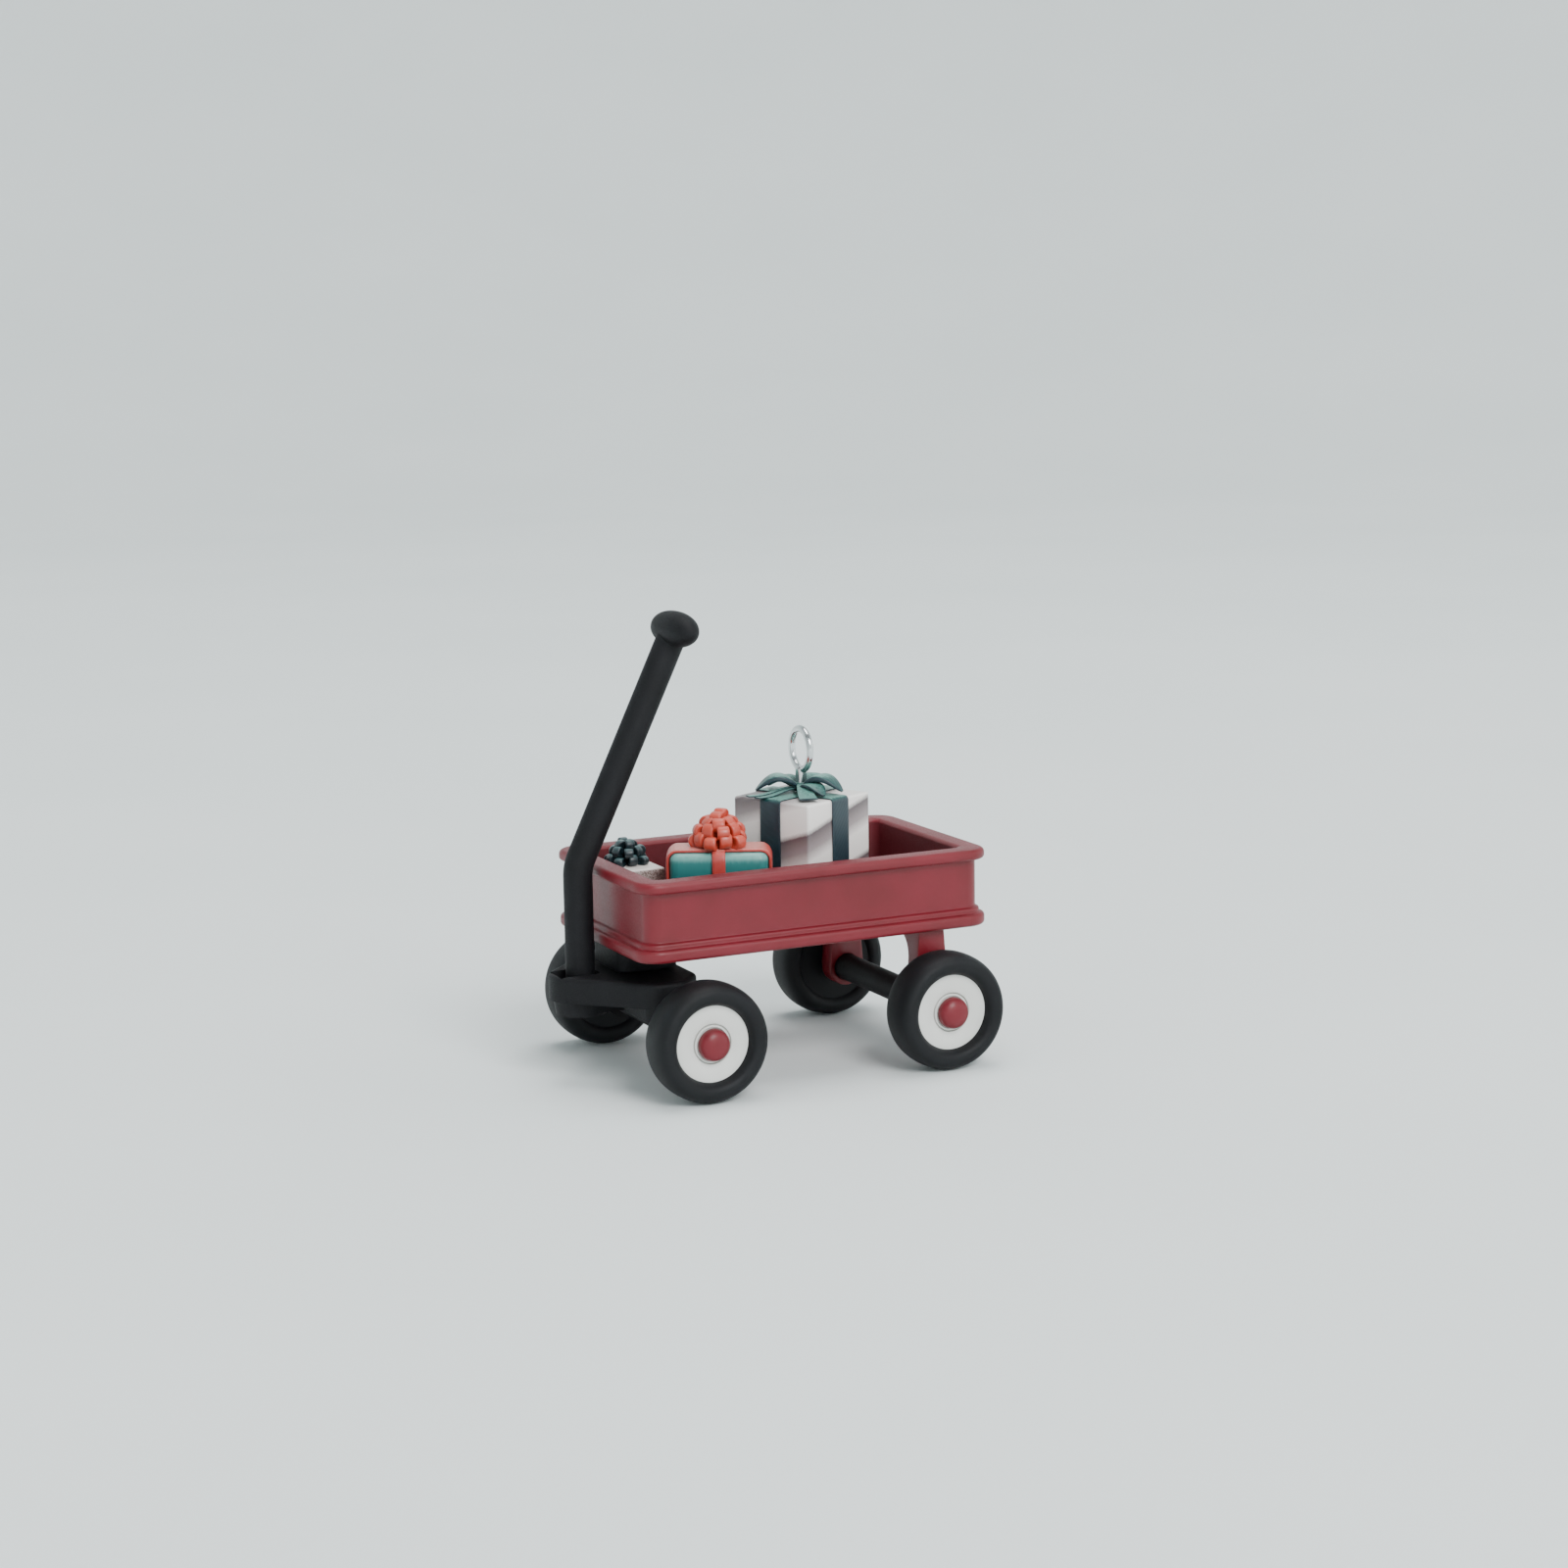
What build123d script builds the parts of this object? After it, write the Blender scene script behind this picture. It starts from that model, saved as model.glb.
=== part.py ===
"""A small toy pull wagon that carries three wrapped gifts and hangs from a metal eye.

The frame: +X is forward, +Y is the wagon's left and +Z is up. The ground is Z = 0, and the
origin is on the ground under the middle of the overall length. All sizes are in millimetres.
"""

import os
from math import cos, radians, sin, tan

from build123d import *

# ---------------------------------------------------------------- driving sizes
# Tray
tray_length = 29.1
tray_width = 17.65
tray_lift = 1.3  # from the top of the tyres up to the underside of the tray
tray_height = 5.95
tray_corner_radius = 1.9
floor_thickness = 1.2
wall_inset = 0.72  # how far the wall stands in from the edge of the rim and of the flange
wall_thickness = 1.13
inner_corner_radius = 0.75
rim_thickness = 0.85
flange_thickness = 0.95
bead_height = 0.4  # the small step above the flange
bead_reach = 0.3
rim_round = 0.28
flange_round = 0.3

# Wheels and axles
wheel_radius = 4.5
tyre_width = 3.52
tyre_thickness = 1.72  # of the round part, measured along the wheel's radius
tyre_round = 0.8
wheelbase = 19.8
track = 20.0  # between the middles of the left and right tyres
rear_overhang = 4.9  # from the rear axle back to the end of the tray
web_recess = 0.35  # from the inner side of the tyre in to the web
disc_radius = 2.92
disc_thickness = 0.5
disc_recess = 0.76  # from the outer side of the tyre in to the face of the disc
hub_cap_radius = 1.2
hub_cap_height = 0.95
hub_cap_side = 0.22  # the straight part below the dome
axle_radius = 1.06
journal_radius = 0.7
journal_in_cap = 0.4

# Rear axle bracket
bracket_plate = 0.5
leg_thickness = 1.55
leg_top_length = 2.1
leg_boss_radius = 1.5
arch_radius = 2.0
leg_gap = 0.28  # between a leg and the tyre beside it

# Front bolster, steering yoke and kingpin
bolster_front = 3.7  # ahead of the front axle
bolster_rear = 1.1  # behind the front axle
bolster_width = 5.6
bolster_round = 0.8
yoke_rise = 3.82  # from the middle of the axle up to the top of the yoke
yoke_depth = 2.85
flare_depth = 1.9
yoke_front = 3.1  # ahead of the front axle
yoke_rear = 1.75  # behind the front axle
yoke_shoulder = 4.5  # half the width of the yoke's rear edge
yoke_side_gap = 1.45  # between the yoke's sides and the tyres
yoke_corner_radius = 1.1
yoke_edge_round = 0.35
lug_thickness = 1.3
lug_radius = 1.55
nose_radius = 2.4
nose_bottom_radius = 1.9
nose_depth = 3.1
kingpin_radius = 0.6
kingpin_head_radius = 1.0
kingpin_head_height = 0.45
kingpin_in_floor = 0.6
washer_radius = 1.6
washer_thickness = 0.16

# Handle
rod_radius = 1.1
rod_gap = 0.3  # between the upright rod and the front of the rim
bend_rise = 0.1  # the corner of the bend above the top of the rim
bend_radius = 3.2
handle_reach_back = 8.3  # how far the grip lies behind the upright part
grip_rise = 17.35  # from the top of the rim up to the middle of the grip
handle_pin_radius = 0.42
handle_pin_drop = 1.15  # from the top of the yoke down to the pin
pin_hold = 0.65  # how far each end of the pin goes into the yoke beside the slot
handle_tip = 30.0  # how far the handle tips forward, in degrees from upright
grip_length = 6.4
grip_radius = 1.36
grip_end_round = 1.25

# Gifts: centre measured from the middle of the tray, then size and turn about Z in degrees
large_gift_offset = (-2.9, -0.45)
large_gift_side = 7.45
large_gift_height = 8.6
large_gift_turn = 24.8
large_ribbon_width = 1.95
large_ribbon_thickness = 0.16
middle_gift_offset = (5.3, 2.1)
middle_gift_length = 7.4
middle_gift_width = 4.2
middle_gift_height = 5.5
middle_gift_turn = -25.7
middle_gift_round = 0.6
middle_ribbon_width = 1.0
middle_ribbon_thickness = 0.3
small_gift_offset = (10.45, -3.7)
small_gift_length = 4.1
small_gift_width = 5.7
small_gift_height = 3.9
gift_edge_round = 0.12

# Bows
large_loop_length = 2.9
large_loop_height = 0.95
large_loop_width = 1.3
large_loop_thickness = 0.24
large_loop_turns = (10, 80, 160, 215, 290)
large_knot_radius = 0.75
middle_bow_radius = 2.15
middle_bow_height = 2.7
middle_bow_lobes = 9
small_bow_radius = 1.6
small_bow_height = 1.75
small_bow_lobes = 8
bow_tier_shares = (1, 0.7, 0.4)  # each tier's radius as a share of the bow's
bow_lobe_share = 0.34  # a lobe's radius as a share of its tier's
bow_tier_turn = 17  # how far each tier is turned from the one below it, in degrees

# Hanging eye
eye_wire_radius = 0.33
eye_outer_radius = 1.85
eye_centre_rise = 3.5  # ring centre above the top of the large gift
eye_stem_depth = 2.2  # how deep the stem goes into the gift

# Clearances and glue pegs
running_clearance = 0.05
press_clearance = 0.02
side_play = 0.1
peg_radius = 0.6
peg_length = 0.5
peg_clearance = 0.05
bracket_peg_share = 0.6  # place of a peg between the middle of the bracket and its leg
bolster_peg_share = 0.65  # place of a peg between the front axle and the front of the bolster
place_tolerance = 0.005  # for picking out edges and faces by where they lie

# ---------------------------------------------------------------- places that follow from them
slot_half = rod_radius + side_play
overall_length = tray_length + rod_gap + rod_radius + nose_radius
tray_rear_x = -overall_length / 2
tray_front_x = tray_rear_x + tray_length
tray_middle_x = tray_rear_x + tray_length / 2
rear_axle_x = tray_rear_x + rear_overhang
front_axle_x = rear_axle_x + wheelbase
handle_x = tray_front_x + rod_gap + rod_radius
tray_bottom_z = 2 * wheel_radius + tray_lift
yoke_top_z = wheel_radius + yoke_rise
rim_top_z = tray_bottom_z + tray_height
grip_centre_z = rim_top_z + grip_rise
floor_top_z = tray_bottom_z + floor_thickness
tyre_inner_y = track / 2 - tyre_width / 2
yoke_bottom_z = yoke_top_z - yoke_depth
handle_pin_z = yoke_top_z - handle_pin_drop
bolster_bottom_z = yoke_top_z + washer_thickness + running_clearance
leg_outer_y = tyre_inner_y - leg_gap
leg_inner_y = leg_outer_y - leg_thickness
yoke_side_y = tyre_inner_y - yoke_side_gap
disc_face = tyre_width / 2 - disc_recess  # outwards from the middle of the wheel
disc_back = disc_face - disc_thickness
web_face = tyre_width / 2 - web_recess  # inwards from the middle of the wheel
cap_base = disc_face + side_play
large_gift_place = (tray_middle_x + large_gift_offset[0], large_gift_offset[1])
middle_gift_place = (tray_middle_x + middle_gift_offset[0], middle_gift_offset[1])
small_gift_place = (tray_middle_x + small_gift_offset[0], small_gift_offset[1])
gift_places = [large_gift_place, middle_gift_place, small_gift_place]
large_gift_top_z = floor_top_z + large_gift_height
middle_gift_top_z = floor_top_z + middle_gift_height
small_gift_top_z = floor_top_z + small_gift_height
large_bow_z = large_gift_top_z + large_ribbon_thickness
middle_bow_z = middle_gift_top_z + middle_ribbon_thickness
eye_centre_z = large_gift_top_z + eye_centre_rise
bracket_peg_places = [(rear_axle_x, side * leg_inner_y * bracket_peg_share) for side in (-1, 1)]
bolster_peg_x = front_axle_x + bolster_front * bolster_peg_share
bolster_peg_places = [(bolster_peg_x, side * bolster_width / 4) for side in (-1, 1)]
wheels = [
    (f"{end}_{hand}", axle_x, side)
    for end, axle_x in (("front", front_axle_x), ("rear", rear_axle_x))
    for hand, side in (("left", 1), ("right", -1))
]

os.makedirs("parts", exist_ok=True)


def save(name, built):
    """Labels a finished piece and writes its STEP file."""
    built.part.label = name
    export_step(built.part, f"parts/{name}.step")


def tray_plan(inset, radius):
    """The tray's rounded outline, drawn in from its largest size by inset."""
    RectangleRounded(tray_length - 2 * inset, tray_width - 2 * inset, radius)


def tray_plane(z):
    """A level plane at height z, with its origin under the middle of the tray."""
    return Plane(origin=(tray_middle_x, 0, z))


def gift_plane(place, turn, z):
    """A level plane at height z on a gift's centre, whose X runs along the gift's length."""
    return Plane(origin=(*place, z), x_dir=(cos(radians(turn)), sin(radians(turn)), 0), z_dir=(0, 0, 1))


def side_plane(x, y, z):
    """An upright plane seen from the wagon's right: its X is forward and its Y is up."""
    return Plane(origin=(x, y, z), x_dir=(1, 0, 0), z_dir=(0, -1, 0))


def level_face(built, z):
    """The largest level face of a part at height z."""
    level = built.faces().filter_by(Axis.Z).filter_by_position(Axis.Z, z - place_tolerance, z + place_tolerance)
    return level.sort_by(SortBy.AREA)[-1]


# ---------------------------------------------------------------- tray
with BuildPart() as wagon_tray:
    with BuildSketch(tray_plane(tray_bottom_z)):
        tray_plan(wall_inset, tray_corner_radius - wall_inset)
    extrude(amount=tray_height)
    with BuildSketch(tray_plane(tray_bottom_z)):
        tray_plan(0, tray_corner_radius)
    extrude(amount=flange_thickness)
    with BuildSketch(tray_plane(tray_bottom_z + flange_thickness)):
        tray_plan(wall_inset - bead_reach, tray_corner_radius - wall_inset + bead_reach)
    extrude(amount=bead_height)
    with BuildSketch(tray_plane(rim_top_z)):
        tray_plan(0, tray_corner_radius)
    extrude(amount=-rim_thickness)
    with BuildSketch(tray_plane(floor_top_z)):
        tray_plan(wall_inset + wall_thickness, inner_corner_radius)
    extrude(amount=tray_height, mode=Mode.SUBTRACT)
    # Rounded edges of the rim, of the flange and of the bead above it
    rim_face = level_face(wagon_tray, rim_top_z)
    fillet(rim_face.outer_wire().edges() + rim_face.inner_wires()[0].edges(), rim_round)
    fillet(level_face(wagon_tray, rim_top_z - rim_thickness).outer_wire().edges(), rim_round)
    fillet(level_face(wagon_tray, tray_bottom_z + flange_thickness).outer_wire().edges(), flange_round)
    fillet(level_face(wagon_tray, tray_bottom_z).outer_wire().edges(), flange_round)
    # Holes for glue pegs in the floor's underside and top, and for the end of the kingpin
    with BuildSketch(Plane.XY.offset(tray_bottom_z)):
        with Locations(*bracket_peg_places, *bolster_peg_places):
            Circle(peg_radius + peg_clearance)
    extrude(amount=peg_length + peg_clearance, mode=Mode.SUBTRACT)
    with BuildSketch(Plane.XY.offset(floor_top_z)):
        with Locations(*gift_places):
            Circle(peg_radius + peg_clearance)
    extrude(amount=-peg_length - peg_clearance, mode=Mode.SUBTRACT)
    with BuildSketch(Plane.XY.offset(tray_bottom_z)):
        with Locations((front_axle_x, 0)):
            Circle(kingpin_radius + press_clearance)
    extrude(amount=kingpin_in_floor + press_clearance, mode=Mode.SUBTRACT)
save("wagon_tray", wagon_tray)

# ---------------------------------------------------------------- rear axle bracket
bracket_height = tray_bottom_z - wheel_radius
with BuildPart() as rear_axle_bracket:
    # The arch seen from behind: a thin plate with a leg at each end and rounded inner corners
    with BuildSketch(Plane(origin=(rear_axle_x, 0, wheel_radius), x_dir=(0, 1, 0), z_dir=(1, 0, 0))):
        with Locations((0, (bracket_height - leg_boss_radius) / 2)):
            Rectangle(2 * leg_outer_y, bracket_height + leg_boss_radius)
        with BuildSketch(mode=Mode.PRIVATE) as arch:
            with Locations((0, -bracket_plate)):
                Rectangle(2 * leg_inner_y, 2 * bracket_height)
            fillet(arch.vertices().group_by(Axis.Y)[-1], arch_radius)
        add(arch.sketch, mode=Mode.SUBTRACT)
    extrude(amount=leg_boss_radius, both=True)
    # Each leg seen from the side: a round boss about the axle that narrows to the top
    with BuildSketch(side_plane(rear_axle_x, 0, wheel_radius)):
        with BuildLine():
            Polyline(
                (-leg_boss_radius, 0),
                (-leg_top_length / 2, bracket_height),
                (leg_top_length / 2, bracket_height),
                (leg_boss_radius, 0),
            )
            ThreePointArc((leg_boss_radius, 0), (0, -leg_boss_radius), (-leg_boss_radius, 0))
        make_face()
    extrude(amount=leg_outer_y, both=True, mode=Mode.INTERSECT)
    with BuildSketch(side_plane(rear_axle_x, 0, wheel_radius)):
        Circle(axle_radius + press_clearance)
    extrude(amount=leg_outer_y, both=True, mode=Mode.SUBTRACT)
    with BuildSketch(Plane.XY.offset(tray_bottom_z)):
        with Locations(*bracket_peg_places):
            Circle(peg_radius)
    extrude(amount=peg_length)
save("rear_axle_bracket", rear_axle_bracket)

# ---------------------------------------------------------------- front bolster
with BuildPart() as front_bolster:
    with BuildSketch(Plane(origin=(front_axle_x + (bolster_front - bolster_rear) / 2, 0, bolster_bottom_z))):
        RectangleRounded(bolster_front + bolster_rear, bolster_width, bolster_round)
    extrude(amount=tray_bottom_z - bolster_bottom_z)
    with BuildSketch(Plane.XY.offset(tray_bottom_z)):
        with Locations(*bolster_peg_places):
            Circle(peg_radius)
    extrude(amount=peg_length)
    with BuildSketch(Plane(origin=(front_axle_x, 0, bolster_bottom_z))):
        Circle(kingpin_radius + press_clearance)
    extrude(amount=tray_bottom_z - bolster_bottom_z, mode=Mode.SUBTRACT)
save("front_bolster", front_bolster)

# ---------------------------------------------------------------- steering yoke
counterbore_top_z = wheel_radius + axle_radius + 2 * side_play + kingpin_head_height
with BuildPart() as steering_yoke:
    # Block over the axle, narrower at the back than at the front
    with BuildSketch(Plane(origin=(front_axle_x, 0, yoke_top_z))) as block_plan:
        Polygon(
            (yoke_front, -yoke_side_y),
            (yoke_front, yoke_side_y),
            (0, yoke_side_y),
            (-yoke_rear, yoke_shoulder),
            (-yoke_rear, -yoke_shoulder),
            (0, -yoke_side_y),
            align=None,
        )
        fillet(block_plan.vertices(), yoke_corner_radius)
    extrude(amount=-yoke_depth)
    # Flare from the block to the round nose
    corner_x = yoke_front - yoke_corner_radius
    corner_y = yoke_side_y - yoke_corner_radius
    with BuildSketch(Plane(origin=(front_axle_x, 0, yoke_top_z))):
        with Locations((handle_x - front_axle_x, 0)):
            Circle(nose_radius)
        with Locations((corner_x, corner_y), (corner_x, -corner_y)):
            Circle(yoke_corner_radius)
        make_hull()
    extrude(amount=-flare_depth)
    # Nose, which narrows downwards
    with BuildSketch(Plane(origin=(handle_x, 0, yoke_top_z))):
        Circle(nose_radius)
    with BuildSketch(Plane(origin=(handle_x, 0, yoke_top_z - nose_depth))):
        Circle(nose_bottom_radius)
    loft()
    with BuildSketch(Plane(origin=((handle_x + front_axle_x + yoke_front) / 2, 0, yoke_top_z))):
        Rectangle(handle_x - front_axle_x - yoke_front, 2 * nose_bottom_radius)
    extrude(amount=-yoke_depth)
    fillet(level_face(steering_yoke, yoke_top_z).outer_wire().edges(), yoke_edge_round)
    # Lugs round the axle
    for side in (-1, 1):
        with BuildSketch(side_plane(front_axle_x, side * (yoke_side_y - lug_thickness / 2), wheel_radius)):
            with Locations((0, (yoke_bottom_z - wheel_radius) / 2)):
                Rectangle(2 * lug_radius, yoke_bottom_z - wheel_radius)
            Circle(lug_radius)
        extrude(amount=lug_thickness / 2, both=True)
    with BuildSketch(side_plane(front_axle_x, 0, wheel_radius)):
        Circle(axle_radius + press_clearance)
    extrude(amount=yoke_side_y, both=True, mode=Mode.SUBTRACT)
    # Bore and counterbore for the kingpin
    with BuildSketch(Plane(origin=(front_axle_x, 0, wheel_radius))):
        Circle(kingpin_radius + running_clearance)
    extrude(amount=yoke_top_z - wheel_radius, mode=Mode.SUBTRACT)
    with BuildSketch(Plane(origin=(front_axle_x, 0, wheel_radius))):
        Circle(kingpin_head_radius + side_play)
    extrude(amount=counterbore_top_z - wheel_radius, mode=Mode.SUBTRACT)
    # Slot for the handle, open at the top, and the hole for its pin. Its front wall slopes with the
    # handle tipped right forward, and it meets the round floor where it touches it.
    tip = radians(handle_tip)
    slot_top = 2 * handle_pin_drop
    with BuildSketch(side_plane(handle_x, 0, handle_pin_z)):
        Circle(slot_half)
        Polygon(
            (-slot_half, 0),
            (slot_half * cos(tip), -slot_half * sin(tip)),
            (slot_half / cos(tip) + slot_top * tan(tip), slot_top),
            (-slot_half, slot_top),
            align=None,
        )
    extrude(amount=slot_half, both=True, mode=Mode.SUBTRACT)
    with BuildSketch(side_plane(handle_x, 0, handle_pin_z)):
        Circle(handle_pin_radius + press_clearance)
    extrude(amount=slot_half + pin_hold + press_clearance, both=True, mode=Mode.SUBTRACT)
save("steering_yoke", steering_yoke)

# ---------------------------------------------------------------- kingpin and its washer
with BuildPart() as kingpin:
    with BuildSketch(Plane(origin=(front_axle_x, 0, counterbore_top_z - side_play))):
        Circle(kingpin_radius)
    extrude(amount=tray_bottom_z + kingpin_in_floor - counterbore_top_z + side_play)
    with BuildSketch(Plane(origin=(front_axle_x, 0, counterbore_top_z - side_play))):
        Circle(kingpin_head_radius)
    extrude(amount=-kingpin_head_height)
save("kingpin", kingpin)

with BuildPart() as kingpin_washer:
    with BuildSketch(Plane(origin=(front_axle_x, 0, yoke_top_z))):
        Circle(washer_radius)
        Circle(kingpin_radius + running_clearance, mode=Mode.SUBTRACT)
    extrude(amount=washer_thickness)
save("kingpin_washer", kingpin_washer)

# ---------------------------------------------------------------- axles
shoulder_y = track / 2 - web_face - side_play
journal_end_y = track / 2 + cap_base + journal_in_cap
for name, axle_x in (("front_axle", front_axle_x), ("rear_axle", rear_axle_x)):
    with BuildPart() as axle:
        with BuildSketch(side_plane(axle_x, 0, wheel_radius)):
            Circle(axle_radius)
        extrude(amount=shoulder_y, both=True)
        with BuildSketch(side_plane(axle_x, 0, wheel_radius)):
            Circle(journal_radius)
        extrude(amount=journal_end_y, both=True)
    save(name, axle)

# ---------------------------------------------------------------- wheels and hub caps
for place, axle_x, side in wheels:
    # In these planes X is the distance from the axle and Y points away from the wagon
    wheel_plane = Plane(origin=(axle_x, side * track / 2, wheel_radius), x_dir=(side, 0, 0), z_dir=(0, 0, 1))
    spin_axis = Axis((axle_x, 0, wheel_radius), (0, 1, 0))
    bore_radius = journal_radius + running_clearance

    with BuildPart() as tyre:
        with BuildSketch(wheel_plane):
            with Locations((wheel_radius - tyre_thickness / 2, 0)):
                RectangleRounded(tyre_thickness, tyre_width, tyre_round)
            with Locations(((bore_radius + disc_radius) / 2, (disc_back - web_face) / 2)):
                Rectangle(disc_radius - bore_radius, web_face + disc_back)
            seat_radius = disc_radius + press_clearance
            with Locations((seat_radius / 2, disc_back + tyre_width / 2)):
                Rectangle(seat_radius, tyre_width, mode=Mode.SUBTRACT)
        revolve(axis=spin_axis)
    save(f"tyre_{place}", tyre)

    with BuildPart() as wheel_disc:
        with BuildSketch(wheel_plane):
            with Locations(((bore_radius + disc_radius) / 2, disc_face - disc_thickness / 2)):
                Rectangle(disc_radius - bore_radius, disc_thickness)
        revolve(axis=spin_axis)
    save(f"wheel_disc_{place}", wheel_disc)

    with BuildPart() as hub_cap:
        with BuildSketch(Plane(origin=(axle_x, side * (track / 2 + cap_base), wheel_radius), z_dir=(0, side, 0))):
            Circle(hub_cap_radius)
        extrude(amount=hub_cap_height)
        fillet(hub_cap.faces().sort_by(Axis.Y)[-1 if side > 0 else 0].edges(), hub_cap_height - hub_cap_side)
        with BuildSketch(side_plane(axle_x, 0, wheel_radius)):
            Circle(journal_radius + press_clearance)
        extrude(amount=-side * (journal_end_y + press_clearance), mode=Mode.SUBTRACT)
    save(f"hub_cap_{place}", hub_cap)

# ---------------------------------------------------------------- handle
bend = (handle_x, 0, rim_top_z + bend_rise)
grip_place = (handle_x - handle_reach_back, 0, grip_centre_z)
with BuildPart() as handle_rod:
    with BuildLine():
        FilletPolyline((handle_x, 0, handle_pin_z), bend, grip_place, radius=bend_radius)
    with BuildSketch(Plane(origin=(handle_x, 0, handle_pin_z))):
        Circle(rod_radius)
    sweep()
    with Locations((handle_x, 0, handle_pin_z)):
        Sphere(rod_radius)
    with BuildSketch(side_plane(handle_x, 0, handle_pin_z)):
        Circle(handle_pin_radius + running_clearance)
    extrude(amount=rod_radius, both=True, mode=Mode.SUBTRACT)
save("handle_rod", handle_rod)

with BuildPart() as handle_pin:
    with BuildSketch(side_plane(handle_x, 0, handle_pin_z)):
        Circle(handle_pin_radius)
    extrude(amount=slot_half + pin_hold, both=True)
save("handle_pin", handle_pin)

lean = Vector(*grip_place) - Vector(*bend)
with BuildPart() as handle_grip:
    # A round-ended bar along Y, with a socket for the rod
    with BuildSketch(side_plane(*grip_place)):
        Circle(grip_radius)
    extrude(amount=grip_length / 2, both=True)
    fillet(handle_grip.edges(), grip_end_round)
    with BuildSketch(Plane(origin=grip_place, x_dir=(0, 1, 0), z_dir=lean)):
        Circle(rod_radius + press_clearance)
    extrude(amount=-grip_length, mode=Mode.SUBTRACT)
save("handle_grip", handle_grip)

# ---------------------------------------------------------------- gift boxes
gift_boxes = (
    ("large", large_gift_place, large_gift_side, large_gift_side, large_gift_height, large_gift_turn),
    ("middle", middle_gift_place, middle_gift_length, middle_gift_width, middle_gift_height, middle_gift_turn),
    ("small", small_gift_place, small_gift_length, small_gift_width, small_gift_height, 0),
)
for name, place, length, width, height, turn in gift_boxes:
    edge_round = middle_gift_round if name == "middle" else gift_edge_round
    with BuildPart() as gift_box:
        with BuildSketch(gift_plane(place, turn, floor_top_z)):
            Rectangle(length, width)
        extrude(amount=height)
        fillet(gift_box.edges().filter_by(Axis.Z) + gift_box.faces().sort_by(Axis.Z)[-1].edges(), edge_round)
        with BuildSketch(Plane(origin=(*place, floor_top_z))):
            Circle(peg_radius)
        extrude(amount=-peg_length)
        if name == "large":
            with BuildSketch(Plane(origin=(*place, floor_top_z + height))):
                Circle(eye_wire_radius + press_clearance)
            extrude(amount=-eye_stem_depth - press_clearance, mode=Mode.SUBTRACT)
    save(f"gift_{name}_box", gift_box)

# ---------------------------------------------------------------- ribbons: two crossed bands over a box
ribbons = (
    ("large", large_gift_place, large_gift_side, large_gift_side, large_gift_top_z, large_gift_turn,
     large_ribbon_width, large_ribbon_width, large_ribbon_thickness, gift_edge_round),
    ("middle", middle_gift_place, middle_gift_length, middle_gift_width, middle_gift_top_z, middle_gift_turn,
     middle_ribbon_width, middle_gift_width - 2 * middle_gift_round, middle_ribbon_thickness,
     middle_gift_round),
)
for name, place, length, width, top_z, turn, cross_width, long_width, thickness, edge_round in ribbons:
    with BuildPart() as ribbon:
        with BuildSketch(gift_plane(place, turn, floor_top_z)):
            Rectangle(length + 2 * thickness, long_width)
            Rectangle(cross_width, width + 2 * thickness)
        extrude(amount=top_z + thickness - floor_top_z)
        strap_top_z = top_z + thickness
        ends = ribbon.edges().filter_by_position(
            Axis.Z, strap_top_z - place_tolerance, strap_top_z + place_tolerance
        )
        across = gift_plane(place, turn, top_z)
        far_ends = [
            edge for edge in ends
            if abs(abs(across.to_local_coords(edge.center()).X) - length / 2 - thickness) < place_tolerance
            or abs(abs(across.to_local_coords(edge.center()).Y) - width / 2 - thickness) < place_tolerance
        ]
        fillet(far_ends, edge_round + thickness / 2)
        # The box itself is taken out, with its rounded edges
        with BuildSketch(gift_plane(place, turn, floor_top_z)):
            Rectangle(length, width)
        extrude(amount=top_z - floor_top_z, mode=Mode.SUBTRACT)
        if name == "large":
            with BuildSketch(Plane(origin=(*place, top_z))):
                Circle(eye_wire_radius + press_clearance)
            extrude(amount=thickness, mode=Mode.SUBTRACT)
    save(f"gift_{name}_ribbon", ribbon)

# ---------------------------------------------------------------- bows
with BuildPart() as large_bow:
    # Flat closed loops that spread from a knot
    for turn in large_loop_turns:
        spoke = gift_plane(large_gift_place, turn, large_bow_z)
        loop_plane = Plane(origin=spoke.origin, x_dir=spoke.x_dir, z_dir=spoke.y_dir * -1)
        with BuildSketch(loop_plane):
            with Locations((large_loop_length / 2 + large_knot_radius / 2, large_loop_height / 2)):
                SlotOverall(large_loop_length, large_loop_height)
                SlotOverall(
                    large_loop_length - 2 * large_loop_thickness,
                    large_loop_height - 2 * large_loop_thickness,
                    mode=Mode.SUBTRACT,
                )
        extrude(amount=large_loop_width / 2, both=True)
    with BuildSketch(Plane(origin=(*large_gift_place, large_bow_z))):
        Circle(large_knot_radius)
    extrude(amount=large_loop_height)
    with BuildSketch(Plane(origin=(*large_gift_place, large_bow_z))):
        Circle(eye_wire_radius + press_clearance)
    extrude(amount=large_loop_height, mode=Mode.SUBTRACT)
save("gift_large_bow", large_bow)

clusters = (
    ("middle", middle_gift_place, middle_bow_z, middle_bow_radius, middle_bow_height, middle_bow_lobes),
    ("small", small_gift_place, small_gift_top_z, small_bow_radius, small_bow_height, small_bow_lobes),
)
for name, place, base_z, radius, height, lobes in clusters:
    # Scalloped tiers, each smaller than the one below it
    tier_height = height / len(bow_tier_shares)
    with BuildPart() as bow:
        for tier, share in enumerate(bow_tier_shares):
            lobe = radius * share * bow_lobe_share
            with BuildSketch(Plane(origin=(*place, base_z + tier * tier_height))):
                Circle(radius * share - lobe)
                with PolarLocations(radius * share - lobe, lobes - tier, start_angle=bow_tier_turn * tier):
                    Circle(lobe)
            extrude(amount=tier_height)
    save(f"gift_{name}_bow", bow)

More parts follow.
